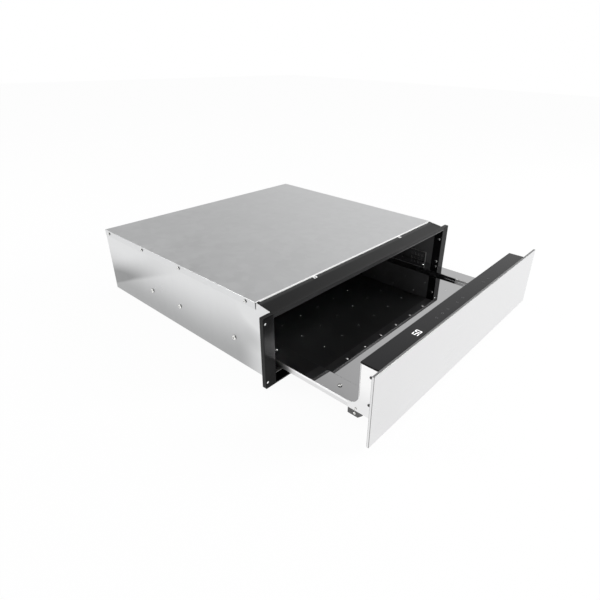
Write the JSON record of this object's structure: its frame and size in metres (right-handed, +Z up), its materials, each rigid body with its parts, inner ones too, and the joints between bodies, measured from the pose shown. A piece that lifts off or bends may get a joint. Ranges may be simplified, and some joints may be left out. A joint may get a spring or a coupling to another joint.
{
  "type": "built in warming drawer",
  "caption": "Built in warming drawer: a shallow steel cabinet with a black flanged front frame and a heated drawer on telescopic slides with touch controls behind its front panel.",
  "frame": {"origin": "middle of the width, on the underside, in the plane where the front flange seats on the furniture", "axes": "+Y back into the furniture, +Z up, +X to the right of someone who faces the drawer"},
  "size_m": [0.598, 0.7464, 0.1414],
  "materials": {
    "galvanised_steel": "matt spangled zinc",
    "black_frame": "gloss black",
    "black_lining": "satin black enamel",
    "dark_bracket": "satin dark grey",
    "mineral_wool": "matt fibrous",
    "zinc_slide": "bright zinc",
    "dark_slide": "dark oiled steel",
    "bearing_steel": "polished",
    "zinc_screw": "bright zinc",
    "dark_screw": "black oxide",
    "heater_sheath": "oxidised steel",
    "motor_iron": "matt",
    "impeller_aluminium": "satin",
    "brass_nut": "satin",
    "ivory_ceramic": "matt",
    "black_plastic": "matt",
    "white_plastic": "smooth",
    "panel_steel": "pale satin",
    "bright_steel": "bright stainless",
    "mirror_steel": "mirror polished stainless",
    "black_glass": "gloss, printed black behind",
    "display_light": "lit",
    "icon_print": "matt print",
    "green_board": "lacquered",
    "black_rubber": "matt"
  },
  "bodies": {
    "cabinet": {"base_pan": "galvanised_steel", "side_panel_left": "galvanised_steel", "side_panel_right": "galvanised_steel", "rear_panel": "galvanised_steel", "top_cover": "galvanised_steel", "front_frame": "black_frame", "liner_top": "black_lining", "liner_left": "black_lining", "liner_right": "black_lining", "liner_rear": "black_lining", "liner_floor": "black_lining", "top_insulation": "mineral_wool", "floor_insulation": "mineral_wool", "slide_bracket_left": "dark_bracket", "slide_bracket_right": "dark_bracket", "slide_outer_left": "zinc_slide", "slide_outer_right": "zinc_slide", "cover_screws": "zinc_screw", "tab_screws": "zinc_screw", "rail_screws": "zinc_screw", "frame_screws": "zinc_screw", "heating_element": "heater_sheath", "heater_clips": "zinc_screw", "fan_plate": "galvanised_steel", "fan_standoffs": "zinc_screw", "fan_motor": "motor_iron", "safety_thermostat": "ivory_ceramic", "terminal_block": "ivory_ceramic", "cable_gland": "black_plastic", "latch_body_left": "black_plastic", "latch_body_right": "black_plastic"},
    "drawer": {"front_panel": "panel_steel", "panel_bumpers": "black_rubber", "control_box": "bright_steel", "control_glass": "black_glass", "display_digits": "display_light", "touch_icons": "icon_print", "control_board": "green_board", "end_bracket_left": "bright_steel", "end_bracket_right": "bright_steel", "bracket_screws": "dark_screw", "drawer_tray": "mirror_steel", "tray_back_rail": "bright_steel", "ledge_screws": "zinc_screw", "loom_boot": "black_rubber", "slide_inner_left": "zinc_slide", "slide_inner_right": "zinc_slide", "catch_left": "dark_bracket", "catch_right": "dark_bracket", "catch_screws": "zinc_screw"},
    "carriage_left": {"slide_middle_left": "dark_slide", "ball_cage_left": "bearing_steel"},
    "carriage_right": {"slide_middle_right": "dark_slide", "ball_cage_right": "bearing_steel"},
    "fan_rotor": {"fan_impeller": "impeller_aluminium", "motor_shaft": "bearing_steel", "impeller_nut": "brass_nut"},
    "plunger_left": {"latch_plunger_left": "white_plastic"},
    "plunger_right": {"latch_plunger_right": "white_plastic"}
  },
  "joints": [
    {"name": "drawer_slide", "type": "slide", "parent": "cabinet", "child": "drawer", "axis": [0, -1, 0], "range_m": [-0.2008, 0.19]},
    {"name": "carriage_left_slide", "type": "slide", "parent": "cabinet", "child": "carriage_left", "axis": [0, -1, 0], "range_m": [-0.1004, 0.095]},
    {"name": "carriage_right_slide", "type": "slide", "parent": "cabinet", "child": "carriage_right", "axis": [0, -1, 0], "range_m": [-0.1004, 0.095]},
    {"name": "fan_spin", "type": "hinge", "parent": "cabinet", "child": "fan_rotor", "pos_m": [0, 0.44, 0.06825], "axis": [0, 1, 0], "continuous": true},
    {"name": "latch_push_left", "type": "slide", "parent": "cabinet", "child": "plunger_left", "axis": [0, 1, 0], "range_m": [0, 0.005], "stiffness_N_per_m": 600, "springref_m": -0.004},
    {"name": "latch_push_right", "type": "slide", "parent": "cabinet", "child": "plunger_right", "axis": [0, 1, 0], "range_m": [0, 0.005], "stiffness_N_per_m": 600, "springref_m": -0.004}
  ],
  "couplings": [
    {"joint": "carriage_left_slide", "follows": "drawer_slide", "ratio": 0.5},
    {"joint": "carriage_right_slide", "follows": "drawer_slide", "ratio": 0.5}
  ]
}
